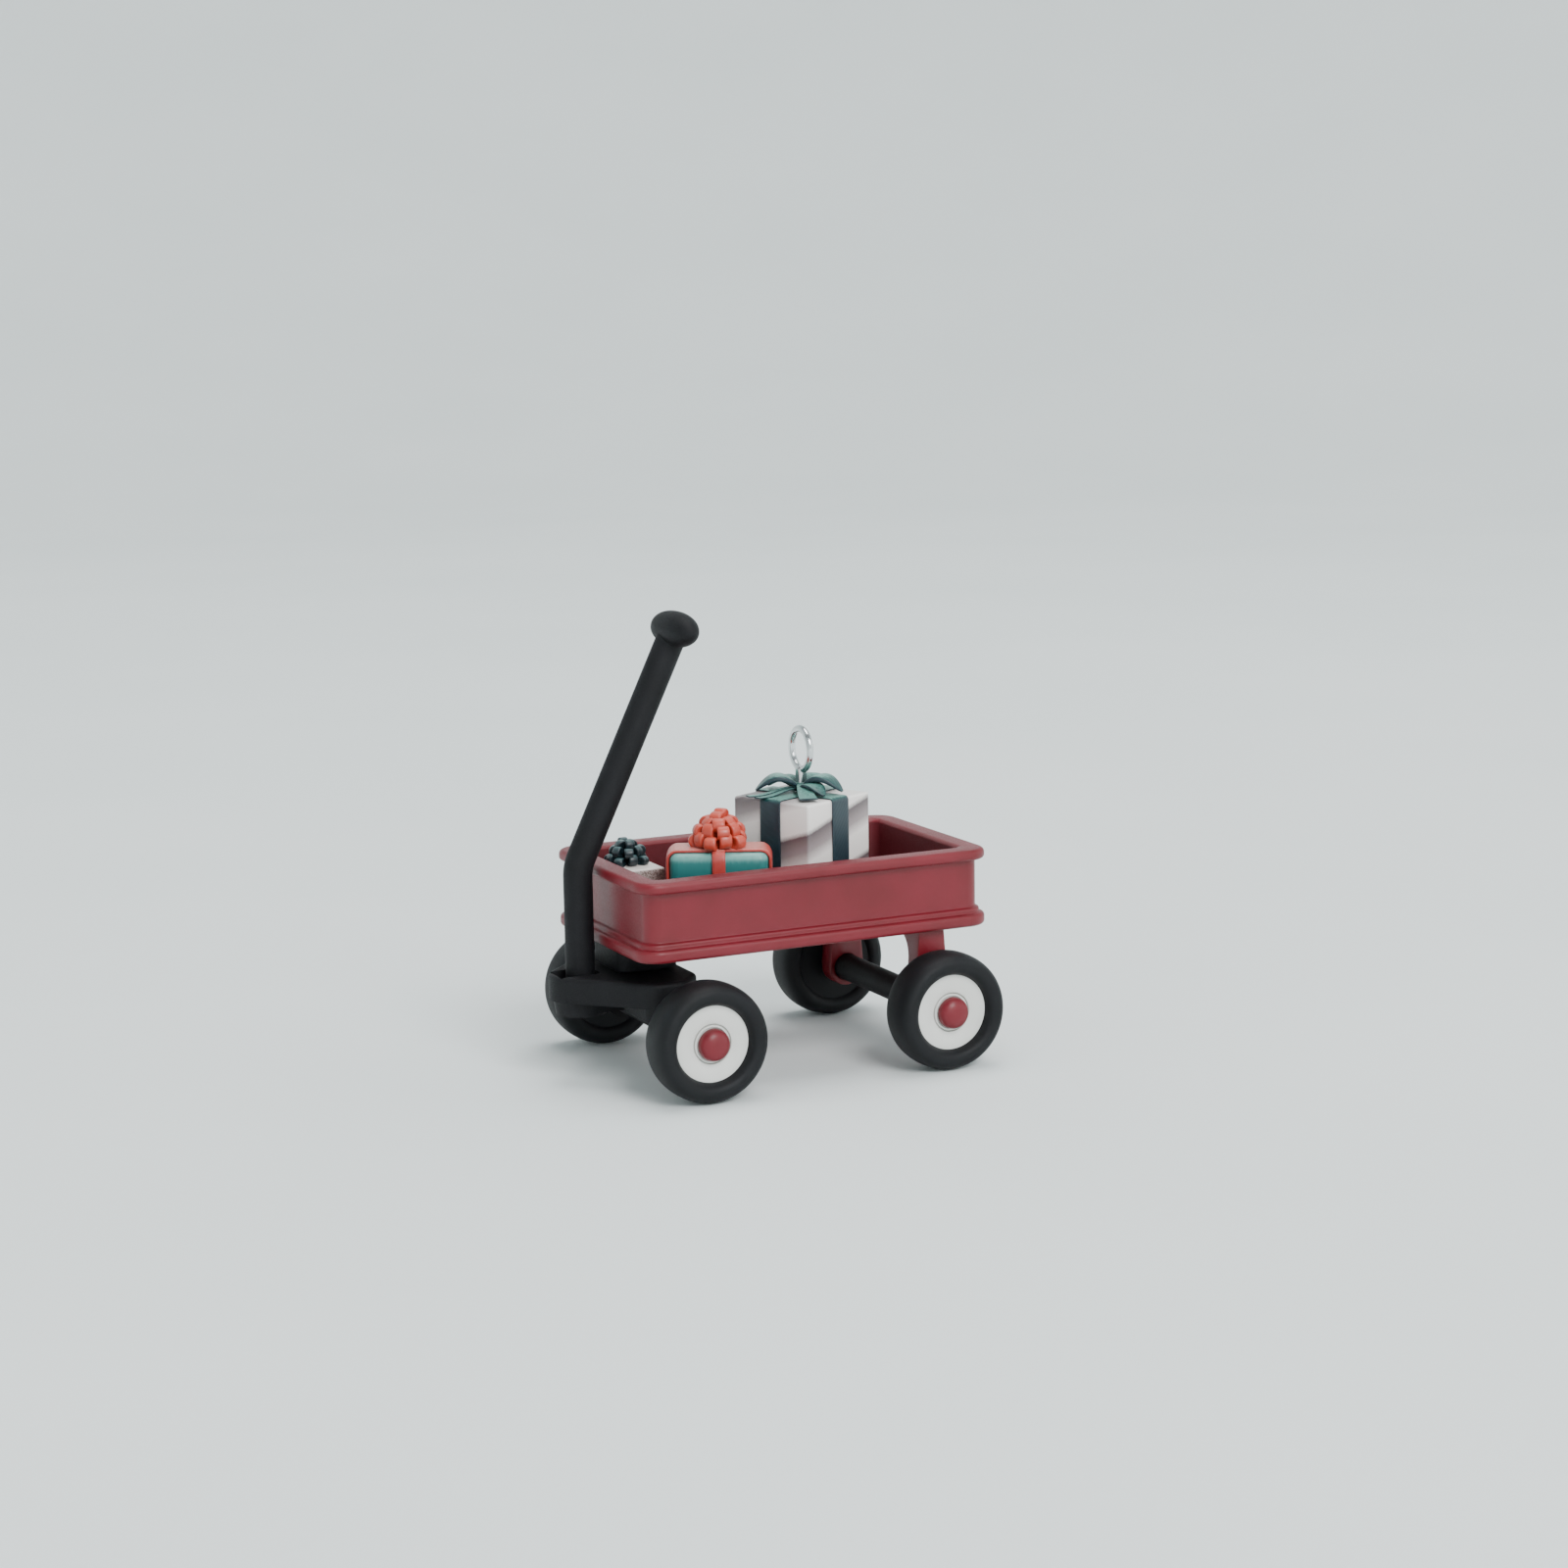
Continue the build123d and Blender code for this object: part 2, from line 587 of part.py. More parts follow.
# ---------------------------------------------------------------- hanging eye
ring_radius = eye_outer_radius - eye_wire_radius
eye_place = (*large_gift_place, eye_centre_z)
with BuildPart() as hanging_eye:
    with BuildSketch(Plane(origin=eye_place, x_dir=(0, 1, 0), z_dir=(0, 0, 1))):
        with Locations((ring_radius, 0)):
            Circle(eye_wire_radius)
    revolve(axis=Axis(eye_place, (1, 0, 0)))
    with BuildSketch(Plane(origin=(*large_gift_place, large_gift_top_z - eye_stem_depth))):
        Circle(eye_wire_radius)
    extrude(amount=eye_stem_depth + eye_centre_rise - ring_radius)
save("hanging_eye", hanging_eye)
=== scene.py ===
"""Looks for a small red pull wagon ornament with three wrapped gifts and a wire hanging eye.

The CAD frame gives every place and size. Surfaces are worked out with numpy as functions of two
parameters: one along a profile, one around an outline, an axis or a path. Lengths are in metres.
"""

import math

import bmesh
import bpy
import numpy as np
from mathutils import Matrix, Vector


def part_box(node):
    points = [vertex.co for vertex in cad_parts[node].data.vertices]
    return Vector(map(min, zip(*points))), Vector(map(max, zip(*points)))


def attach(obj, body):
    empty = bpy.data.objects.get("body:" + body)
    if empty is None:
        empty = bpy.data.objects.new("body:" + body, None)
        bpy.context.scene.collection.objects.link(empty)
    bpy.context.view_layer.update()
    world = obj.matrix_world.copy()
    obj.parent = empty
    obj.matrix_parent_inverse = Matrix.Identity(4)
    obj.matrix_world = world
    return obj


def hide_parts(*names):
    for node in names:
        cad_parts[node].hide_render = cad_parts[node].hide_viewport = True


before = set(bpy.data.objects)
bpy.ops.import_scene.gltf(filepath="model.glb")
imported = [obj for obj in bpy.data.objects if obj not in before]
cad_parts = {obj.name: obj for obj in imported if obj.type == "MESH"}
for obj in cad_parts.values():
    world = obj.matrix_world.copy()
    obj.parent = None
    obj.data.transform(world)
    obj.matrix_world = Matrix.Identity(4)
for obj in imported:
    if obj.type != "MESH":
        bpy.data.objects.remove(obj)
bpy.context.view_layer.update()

MM = 0.001


# ---------------------------------------------------------------- shape helpers
def span(node):
    """Lowest corner, highest corner and middle of a CAD node, as arrays."""
    low, high = (np.array(corner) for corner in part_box(node))
    return low, high, (low + high) / 2


def round_corners(points, radii, steps=6):
    """A polyline whose inner corners are arcs: each arc touches both runs beside its corner and
    turns evenly about a centre on the line that halves the corner's angle."""
    points = np.array(points, float)
    out = [points[:1]]
    for before, corner, after, radius in zip(points[:-2], points[1:-1], points[2:], radii):
        to_before = (before - corner) / np.linalg.norm(before - corner)
        to_after = (after - corner) / np.linalg.norm(after - corner)
        half = math.acos(np.clip(to_before @ to_after, -1, 1)) / 2
        middle = (to_before + to_after) / np.linalg.norm(to_before + to_after)
        centre = corner + middle * radius / math.sin(half)
        start = corner + to_before * radius / math.tan(half) - centre
        end = corner + to_after * radius / math.tan(half) - centre
        sweep = math.pi - 2 * half
        t = np.linspace(0, 1, steps + 1)[:, None]
        arc = (np.sin((1 - t) * sweep) * start + np.sin(t * sweep) * end) / math.sin(sweep)
        out.append(centre + arc)
    out.append(points[-1:])
    return np.concatenate(out)


def rounded_rings(lengths, widths, radii, steps=10):
    """Level rounded rectangles, one for each entry: a quarter circle at each corner, whose centre
    is one radius in from both sides, with straight runs between the quarters."""
    lengths, widths, radii = (np.asarray(a, float)[:, None] for a in (lengths, widths, radii))
    quarter = np.linspace(0, math.pi / 2, steps + 1)[None, :]
    parts = []
    for turn, (sx, sy) in enumerate(((1, 1), (-1, 1), (-1, -1), (1, -1))):
        angle = quarter + turn * math.pi / 2
        x = sx * (lengths / 2 - radii) + radii * np.cos(angle)
        y = sy * (widths / 2 - radii) + radii * np.sin(angle)
        parts.append(np.stack([x, y], axis=-1))
    return np.concatenate(parts, axis=1)


def turned(profile, centre, outward, steps=96):
    """A surface of revolution about the Y axis through centre. The profile holds (radius, reach)
    pairs: each point goes round a circle of its radius, at its reach from the centre towards outward."""
    angle = np.linspace(0, 2 * math.pi, steps, endpoint=False)[None, :]
    radius, reach = profile[:, :1], profile[:, 1:]
    grid = np.stack(
        [radius * np.cos(angle), outward * reach + 0 * angle, radius * np.sin(angle)], axis=-1
    )
    return grid + np.asarray(centre)


def superellipse(centre, half, power, start, end, steps):
    """Points with |x/a|^power + |y/b|^power = 1 about a centre, from one angle to another."""
    angle = np.linspace(start, end, steps)
    cosine, sine = np.cos(angle), np.sin(angle)
    x = centre[0] + half[0] * np.sign(cosine) * np.abs(cosine) ** (2 / power)
    y = centre[1] + half[1] * np.sign(sine) * np.abs(sine) ** (2 / power)
    return np.stack([x, y], axis=-1)


def tube(path, radius, side, steps=40):
    """A round tube along a path that lies in the plane square to side. Each ring is a circle in the
    plane of side and of the path's own normal, which is side crossed with the path's direction."""
    side = np.asarray(side, float)
    along = np.gradient(path, axis=0)
    along /= np.linalg.norm(along, axis=1, keepdims=True)
    normal = np.cross(side, along)
    angle = np.linspace(0, 2 * math.pi, steps, endpoint=False)[None, :, None]
    radius = np.broadcast_to(radius, len(path))[:, None, None]
    return path[:, None] + radius * (np.cos(angle) * normal[:, None] + np.sin(angle) * side)


def band(path, side, width, thickness, steps=10):
    """A flat ribbon along a path: a flattened superellipse, width across and thickness through, is
    carried along the path with its long way kept on side. Width and thickness may vary on the way."""
    side = np.broadcast_to(np.asarray(side, float), path.shape)
    along = np.gradient(path, axis=0)
    along /= np.linalg.norm(along, axis=1, keepdims=True)
    normal = np.cross(side, along)
    section = superellipse((0, 0), (0.5, 0.5), 4, 0, 2 * math.pi, 4 * steps + 1)[:-1]
    width = np.broadcast_to(width, len(path))[:, None, None]
    thickness = np.broadcast_to(thickness, len(path))[:, None, None]
    across = section[None, :, :1] * width * side[:, None]
    through = section[None, :, 1:] * thickness * normal[:, None]
    return path[:, None] + across + through


def petal(length, height, width, steps=20):
    """A small moulded loop of ribbon, lying along X with its inner end at the origin. Its outline in
    X and Z is a drop: x = L (1 - cos t) / 2, z = H sin t (1 - cos t) / 2.6. From the rim, the two
    sides close in towards the middle of the drop and sink, so that each has a shallow dimple. The
    loop narrows to about a third of its width at its root."""
    t = np.linspace(0, 2 * math.pi, 2 * steps, endpoint=False)[None, :]
    v = np.linspace(-1, 1, steps + 1)[:, None]
    shrink = np.cos(v * math.pi / 2).clip(0) ** 0.5
    drop_x = length * (1 - np.cos(t)) / 2
    drop_z = height * np.sin(t) * (1 - np.cos(t)) / 2.6
    middle_x, sink, root_width = 0.6 * length, 0.55, 0.35
    x = middle_x + (drop_x - middle_x) * shrink
    z = drop_z * shrink
    dimple = 1 - sink * (1 - shrink)
    y = width / 2 * np.sign(v) * np.abs(np.sin(v * math.pi / 2)) ** 0.5 * dimple
    y = y * (root_width + (1 - root_width) * np.sqrt(np.clip(x / length, 0, 1)))
    return np.stack([x, y + 0 * t, z], axis=-1)


def turn_about_z(grid, angle):
    """Turns points about the Z axis by an angle in degrees."""
    c, s = math.cos(math.radians(angle)), math.sin(math.radians(angle))
    return grid @ np.array([[c, s, 0], [-s, c, 0], [0, 0, 1]])


def tilt_up(grid, angle):
    """Turns points about the Y axis so that +X rises by an angle in degrees."""
    c, s = math.cos(math.radians(angle)), math.sin(math.radians(angle))
    return grid @ np.array([[c, 0, s], [0, 1, 0], [-s, 0, c]])


# ---------------------------------------------------------------- mesh helpers
def grid_faces(rows, columns, closed_rows, closed_columns, first):
    """Quads of a grid of points numbered row by row, joined round where it is closed."""
    row = np.arange(rows if closed_rows else rows - 1)[:, None]
    column = np.arange(columns if closed_columns else columns - 1)[None, :]
    next_row, next_column = (row + 1) % rows, (column + 1) % columns
    corners = [row * columns + column, row * columns + next_column]
    corners += [next_row * columns + next_column, next_row * columns + column]
    return first + np.stack(np.broadcast_arrays(*corners), axis=-1).reshape(-1, 4)


def make_piece(name, grids, material, body, replaces=(), loops=False, sharp=35):
    """One object from one or more grids of points, each closed round its columns. A grid's two ends
    are capped, or joined to each other where loops is true. Doubles at poles are merged, faces are
    turned outwards, and edges sharper than the given angle stay sharp."""
    points, faces, count = [], [], 0
    for grid in grids:
        rows, columns = grid.shape[:2]
        points.append(grid.reshape(-1, 3))
        faces += grid_faces(rows, columns, loops, True, count).tolist()
        if not loops:
            faces.append(list(range(count, count + columns)))
            faces.append(list(range(count + (rows - 1) * columns, count + rows * columns)))
        count += rows * columns
    mesh = bpy.data.meshes.new(name)
    mesh.from_pydata(np.concatenate(points).tolist(), [], faces)
    build = bmesh.new()
    build.from_mesh(mesh)
    bmesh.ops.remove_doubles(build, verts=build.verts, dist=1e-7)
    bmesh.ops.dissolve_degenerate(build, edges=build.edges, dist=1e-8)
    bmesh.ops.recalc_face_normals(build, faces=build.faces)
    build.to_mesh(mesh)
    build.free()
    mesh.polygons.foreach_set("use_smooth", np.ones(len(mesh.polygons), bool))
    mesh.set_sharp_from_angle(angle=math.radians(sharp))
    piece = bpy.data.objects.new(name, mesh)
    bpy.context.scene.collection.objects.link(piece)
    mesh.materials.append(material)
    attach(piece, body)
    if replaces:
        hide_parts(*replaces)
    return piece


def softened(node, width, material, body):
    """A copy of a CAD node with its loose triangles merged, its flat faces made whole and its edges
    rounded over by width, as a moulding has them. It stands for the node."""
    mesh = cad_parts[node].data.copy()
    mesh.name = node + "_moulding"
    build = bmesh.new()
    build.from_mesh(mesh)
    bmesh.ops.remove_doubles(build, verts=build.verts, dist=1e-7)
    bmesh.ops.dissolve_limit(
        build, angle_limit=math.radians(0.5), verts=build.verts, edges=build.edges
    )
    build.to_mesh(mesh)
    build.free()
    mesh.materials.clear()
    mesh.materials.append(material)
    mesh.polygons.foreach_set("use_smooth", np.ones(len(mesh.polygons), bool))
    piece = bpy.data.objects.new(node + "_moulding", mesh)
    bpy.context.scene.collection.objects.link(piece)
    bevel = piece.modifiers.new("rounded_edges", "BEVEL")
    bevel.width = width
    bevel.segments = 3
    bevel.limit_method = "ANGLE"
    bevel.angle_limit = math.radians(32)
    bevel.harden_normals = True
    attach(piece, body)
    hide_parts(node)
    return piece


# ---------------------------------------------------------------- material helpers
CLOUD = 4 * MM  # size of the broad tone clouds on moulded plastic
NOISE_DETAIL = 3.0
NOISE_SPREAD = (0.3, 0.7)  # nearly all values of a noise lie between these
WHOLE = (0.0, 1.0)


def colour(text):
    """An sRGB hex colour as linear red, green, blue and alpha."""
    srgb = np.array([int(text[i : i + 2], 16) for i in (1, 3, 5)]) / 255
    linear = np.where(srgb <= 0.04045, srgb / 12.92, ((srgb + 0.055) / 1.055) ** 2.4)
    return (*linear.tolist(), 1.0)


def add_node(tree, kind, settings=None, stops=(), **links):
    """Adds a node. Settings are its properties, or input values by name or number. Stops are the
    places and hex colours of a colour ramp. Links are the output sockets that feed its inputs, by
    name with underscores for spaces or as i0, i1 and so on."""
    node = tree.nodes.new(kind)
    for key, value in (settings or {}).items():
        if isinstance(key, str) and hasattr(node, key):
            setattr(node, key, value)
        else:
            node.inputs[key].default_value = value
    for index, (place, hex_colour) in enumerate(stops):
        elements = node.color_ramp.elements
        stop = elements[index] if index < 2 else elements.new(place)
        stop.position = place
        stop.color = colour(hex_colour)
    for key, source in links.items():
        target = int(key[1:]) if key[1:].isdigit() else key.replace("_", " ")
        tree.links.new(source, node.inputs[target])
    return node


def start_material(name, **shader_values):
    """A new material with a Principled shader and Object coordinates, ready for its pattern."""
    material = bpy.data.materials.new(name)
    material.use_nodes = True
    tree = material.node_tree
    shader = tree.nodes["Principled BSDF"]
    for key, value in shader_values.items():
        shader.inputs[key.replace("_", " ")].default_value = value
    where = add_node(tree, "ShaderNodeTexCoord").outputs["Object"]
    return material, tree, shader, where


def surface_grain(tree, shader, pattern, spread, roughness, depth, strength=1.0):
    """Makes the surface follow a pattern: its roughness goes from one value to the other as the
    pattern goes through its spread, and its relief has the given depth in metres."""
    rough = add_node(
        tree, "ShaderNodeMapRange",
        {"From Min": spread[0], "From Max": spread[1], "To Min": roughness[0], "To Max": roughness[1]},
        Value=pattern,
    )
    tree.links.new(rough.outputs["Result"], shader.inputs["Roughness"])
    bump = add_node(tree, "ShaderNodeBump", {"Distance": depth, "Strength": strength}, Height=pattern)
    tree.links.new(bump.outputs["Normal"], shader.inputs["Normal"])


def moulded_plastic(name, dark, light, grain, depth, roughness, **shader_values):
    """A moulded or drawn surface: two close tones in broad soft clouds, and a finer grain that gives
    the satin surface its sparkle."""
    material, tree, shader, where = start_material(name, **shader_values)
    clouds = add_node(
        tree, "ShaderNodeTexNoise", {"Scale": 1 / CLOUD, "Detail": NOISE_DETAIL}, Vector=where
    ).outputs["Fac"]
    tone = add_node(tree, "ShaderNodeValToRGB", stops=((0.3, dark), (0.7, light)), Fac=clouds)
    tree.links.new(tone.outputs["Color"], shader.inputs["Base Color"])
    fine = add_node(
        tree, "ShaderNodeTexNoise", {"Scale": 1 / grain, "Detail": NOISE_DETAIL}, Vector=where
    ).outputs["Fac"]
    surface_grain(tree, shader, fine, NOISE_SPREAD, roughness, depth)
    return material


# ---------------------------------------------------------------- materials
def red_plastic(name):
    """Satin red moulded ABS: soft wide highlights, with a faint pink sheen on edges and rim."""
    return moulded_plastic(
        name, "#650815", "#730f20", 0.12 * MM, 0.004 * MM, (0.36, 0.52),
        Coat_Weight=0.1, Coat_Roughness=0.35, Specular_IOR_Level=0.42,
    )


def painted_shade_red_plastic(name):
    """The same red plastic inside the tray: duller, and darker as painted shade."""
    return moulded_plastic(name, "#560a16", "#620f1c", 0.12 * MM, 0.004 * MM, (0.5, 0.65))


def black_plastic(name):
    """Matte black moulded ABS with a fine grain that turns highlights into a dim grey haze."""
    return moulded_plastic(
        name, "#09090c", "#111115", 0.1 * MM, 0.012 * MM, (0.54, 0.72), Specular_IOR_Level=0.24
    )


def tyre_plastic(name):
    """Black moulded tyre: a little bluer and finer than the running gear, with a soft grey shoulder."""
    return moulded_plastic(
        name, "#090a0d", "#111216", 0.07 * MM, 0.006 * MM, (0.5, 0.66), Specular_IOR_Level=0.26
    )


def white_plastic(name):
    """Warm white wheel face, almost flat in tone, with a faint satin gloss."""
    return moulded_plastic(name, "#d8d8d3", "#e4e3df", 0.15 * MM, 0.003 * MM, (0.36, 0.5))


def bright_wire(name):
    """Bright plated wire: a mirror with faint clouding along it."""
    return moulded_plastic(
        name, "#c8cbcc", "#dfe1e2", 0.2 * MM, 0.001 * MM, (0.06, 0.18), Metallic=1.0
    )


def pin_metal(name):
    """Dull steel of a turned pin."""
    return moulded_plastic(
        name, "#76787a", "#8d8f91", 0.1 * MM, 0.002 * MM, (0.28, 0.42), Metallic=1.0
    )


PAPER_GRAIN, PAPER_DEPTH, PAPER_ROUGHNESS = 0.16 * MM, 0.003 * MM, (0.3, 0.44)


def banded_pearl_paper(name):
    """Pearly white wrapping with broad grey-lilac bands, which slant down each face, darken slowly
    and end at a sharp edge."""
    material, tree, shader, where = start_material(name, Coat_Weight=0.3, Coat_Roughness=0.25)
    fine = add_node(
        tree, "ShaderNodeTexNoise", {"Scale": 1 / PAPER_GRAIN, "Detail": NOISE_DETAIL}, Vector=where
    ).outputs["Fac"]
    slant = add_node(
        tree, "ShaderNodeVectorMath", {"operation": "DOT_PRODUCT", 1: (0.36, -0.17, 1.0)}, i0=where
    ).outputs["Value"]
    band_spacing, first_band = 4.3 * MM, 0.773
    turns = add_node(
        tree, "ShaderNodeMath", {"operation": "MULTIPLY_ADD", 1: 1 / band_spacing, 2: first_band},
        i0=slant,
    ).outputs["Value"]
    share = add_node(tree, "ShaderNodeMath", {"operation": "FRACT"}, i0=turns).outputs["Value"]
    cloudy = add_node(
        tree, "ShaderNodeMath", {"operation": "MULTIPLY_ADD", 1: 0.04}, i0=fine, i2=share
    ).outputs["Value"]
    bands = ((0.02, "#efe8e5"), (0.22, "#9c9091"), (0.5, "#5c5053"), (0.6, "#f1ebe7"))
    tone = add_node(tree, "ShaderNodeValToRGB", stops=bands, Fac=cloudy)
    tree.links.new(tone.outputs["Color"], shader.inputs["Base Color"])
    surface_grain(tree, shader, fine, NOISE_SPREAD, PAPER_ROUGHNESS, PAPER_DEPTH)
    return material


def speckled_pearl_paper(name):
    """Pearly white wrapping that is clean on top and speckled brown on its upright sides, which
    are darker than the top as painted shade.
    """
    material, tree, shader, where = start_material(name, Coat_Weight=0.3, Coat_Roughness=0.25)
    fine = add_node(
        tree, "ShaderNodeTexNoise", {"Scale": 1 / PAPER_GRAIN, "Detail": NOISE_DETAIL}, Vector=where
    ).outputs["Fac"]
    dots = add_node(
        tree, "ShaderNodeTexNoise", {"Scale": 1 / (0.09 * MM), "Detail": 2.0}, Vector=where
    ).outputs["Fac"]
    # the upright sides take the brown speckle, darkened as painted shade
    speckles_and_painted_shade = add_node(
        tree, "ShaderNodeValToRGB", stops=((0.38, "#6e5d58"), (0.62, "#b9aca7")), Fac=dots
    ).outputs["Color"]
    normal = add_node(tree, "ShaderNodeTexCoord").outputs["Normal"]
    upward = add_node(tree, "ShaderNodeSeparateXYZ", Vector=normal).outputs["Z"]
    on_top = add_node(
        tree, "ShaderNodeValToRGB", stops=((0.5, "#000000"), (0.9, "#ffffff")), Fac=upward
    ).outputs["Color"]
    tone = add_node(
        tree, "ShaderNodeMix", {"data_type": "RGBA", 7: colour("#e2dad5")}, i0=on_top, i6=speckles_and_painted_shade
    )
    tree.links.new(tone.outputs[2], shader.inputs["Base Color"])
    surface_grain(tree, shader, fine, NOISE_SPREAD, PAPER_ROUGHNESS, PAPER_DEPTH)
    return material


def satin_ribbon(name, low, high, pale):
    """Satin ribbon with painted sheen: its colour is dark where it hangs upright and pale mint or
    pink where it lies open to the light, a painted highlight. Its weave is drawn coarser than real
    threads, so that it shows."""
    material, tree, shader, where = start_material(name, Coat_Weight=0.15, Coat_Roughness=0.3)
    fine = add_node(
        tree, "ShaderNodeTexNoise", {"Scale": 1 / (0.14 * MM), "Detail": NOISE_DETAIL}, Vector=where
    ).outputs["Fac"]
    normal = add_node(tree, "ShaderNodeTexCoord").outputs["Normal"]
    upward = add_node(tree, "ShaderNodeSeparateXYZ", Vector=normal).outputs["Z"]
    # painted sheen: the pale colour goes on faces turned up to the light, the dark one on upright faces
    noise_and_painted_sheen = add_node(
        tree, "ShaderNodeMath", {"operation": "MULTIPLY_ADD", 1: 0.5}, i0=fine, i2=upward
    ).outputs["Value"]
    share = add_node(
        tree, "ShaderNodeMapRange", {"From Min": 0.2, "From Max": 1.45}, Value=noise_and_painted_sheen
    ).outputs["Result"]
    shade = add_node(
        tree, "ShaderNodeValToRGB", stops=((0.3, low), (0.7, high), (0.9, pale)), Fac=share
    )
    tree.links.new(shade.outputs["Color"], shader.inputs["Base Color"])
    # diagonal bands repeat each time x + y + z grows by 2 pi / (10 scale)
    thread_spacing = 0.48 * MM
    weave = add_node(
        tree, "ShaderNodeTexWave",
        {
            "bands_direction": "DIAGONAL", "Scale": 2 * math.pi / (10 * thread_spacing),
            "Distortion": 1.5,
        },
        Vector=where,
    ).outputs["Fac"]
    surface_grain(tree, shader, weave, WHOLE, (0.32, 0.5), 0.006 * MM, 0.6)
    return material


def teal_foil(name, low_z, high_z):
    """Teal foil paper with painted light: pale at its rounded top edge as painted highlight, deeper
    towards the foot as painted shade, with upright streaks.
    """
    material, tree, shader, where = start_material(name, Coat_Weight=0.15, Coat_Roughness=0.3)
    height = add_node(tree, "ShaderNodeSeparateXYZ", Vector=where).outputs["Z"]
    share = add_node(
        tree, "ShaderNodeMapRange", {"From Min": low_z, "From Max": high_z}, Value=height
    ).outputs["Result"]
    stretched = add_node(
        tree, "ShaderNodeMapping", {"Scale": (1.0, 1.0, 0.25)}, Vector=where
    ).outputs["Vector"]
    streaks = add_node(
        tree, "ShaderNodeTexNoise", {"Scale": 1 / (0.25 * MM), "Detail": NOISE_DETAIL}, Vector=stretched
    ).outputs["Fac"]
    mixed = add_node(
        tree, "ShaderNodeMath", {"operation": "MULTIPLY_ADD", 1: 0.07}, i0=streaks, i2=share
    ).outputs["Value"]
    # the colour runs from painted shade at the foot to a painted highlight at the top
    tones = ((0.1, "#0d3f4c"), (0.6, "#1a6266"), (0.9, "#2c7775"), (1.0, "#6ba49d"))
    tone = add_node(tree, "ShaderNodeValToRGB", stops=tones, Fac=mixed)
    tree.links.new(tone.outputs["Color"], shader.inputs["Base Color"])
    surface_grain(tree, shader, streaks, WHOLE, (0.24, 0.44), 0.004 * MM)
    return material


def studio_paper(name):
    """Pale matte background paper, with two nearly equal tones in very wide clouds."""
    material, tree, shader, where = start_material(name, Roughness=0.85)
    clouds = add_node(
        tree, "ShaderNodeTexNoise", {"Scale": 1 / (60 * MM), "Detail": 2.0}, Vector=where
    ).outputs["Fac"]
    tone = add_node(
        tree, "ShaderNodeValToRGB", stops=((0.3, "#e6ecec"), (0.7, "#eaefef")), Fac=clouds
    )
    tree.links.new(tone.outputs["Color"], shader.inputs["Base Color"])
    return material


red = red_plastic("red_satin_plastic")
black = black_plastic("black_matte_plastic")
rubber = tyre_plastic("black_tyre_plastic")
white = white_plastic("white_wheel_plastic")
wire = bright_wire("bright_plated_wire")
steel = pin_metal("dull_steel")
pearl = banded_pearl_paper("pearl_banded_paper")
speckle = speckled_pearl_paper("pearl_speckled_paper")
# each ribbon's third colour is its painted sheen, on faces turned up to the light
green = satin_ribbon("green_satin_ribbon", "#1a2e37", "#1f4a47", "#73a89c")
dark_green = satin_ribbon("dark_green_satin_ribbon", "#14242a", "#263f43", "#48696a")
coral = satin_ribbon("coral_satin_ribbon", "#b03a34", "#bf4a42", "#d79289")
coral_bow = satin_ribbon("coral_bow_ribbon", "#b8402f", "#c94f3e", "#cf6050")
painted_shade_red = painted_shade_red_plastic("painted_shade_red_plastic")

# ---------------------------------------------------------------- carried-over CAD parts
for node, material in (
    ("front_axle", black), ("rear_axle", black), ("kingpin", steel),
    ("kingpin_washer", steel), ("handle_pin", steel),
):
    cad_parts[node].data.materials.clear()
    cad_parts[node].data.materials.append(material)

# ---------------------------------------------------------------- tray
tray_low, tray_high, tray_middle = span("wagon_tray")
tray_size = tray_high - tray_low
CORNER, TIGHTEST_CORNER = 1.9 * MM, 0.75 * MM  # in plan: at the outline, and inside the walls
FLOOR_TOP = 11.5 * MM
FLANGE_HEIGHT, FLANGE_FOOT_IN = 0.95 * MM, 0.9 * MM
BEAD_IN, BEAD_TOP = 0.42 * MM, 1.33 * MM
WALL_IN, WALL_FOOT = 0.72 * MM, 1.4 * MM
INNER_IN, FLOOR_EDGE_IN = 1.85 * MM, 2.6 * MM
RIM_DEPTH, RIM_ROOT = 0.82 * MM, 0.86 * MM
base, rim = tray_low[2], tray_high[2]
# the section of the wall as (inset from the tray's edge, height): foot flange with a raised bead on
# it, the wall, the rim that overhangs it, and the inner face down to the floor
section = round_corners(
    [
        (FLANGE_FOOT_IN, base), (0, base), (0, base + FLANGE_HEIGHT), (BEAD_IN, base + FLANGE_HEIGHT),
        (BEAD_IN, base + BEAD_TOP), (WALL_IN, base + WALL_FOOT), (WALL_IN, rim - RIM_ROOT),
        (0, rim - RIM_DEPTH), (0, rim), (INNER_IN, rim), (INNER_IN, FLOOR_TOP),
        (FLOOR_EDGE_IN, FLOOR_TOP),
    ],
    np.array([0.3, 0.32, 0.12, 0.2, 0.12, 0.14, 0.3, 0.38, 0.3, 0.4]) * MM,
)
rings = rounded_rings(
    tray_size[0] - 2 * section[:, 0], tray_size[1] - 2 * section[:, 0],
    np.maximum(CORNER - section[:, 0], TIGHTEST_CORNER), steps=14,
)
heights = np.broadcast_to(section[:, 1:2], rings.shape[:2])[..., None]
tray = np.concatenate([rings + tray_middle[:2], heights], axis=-1)
shell = make_piece("tray_shell", [tray], red, "wagon", ("wagon_tray",))

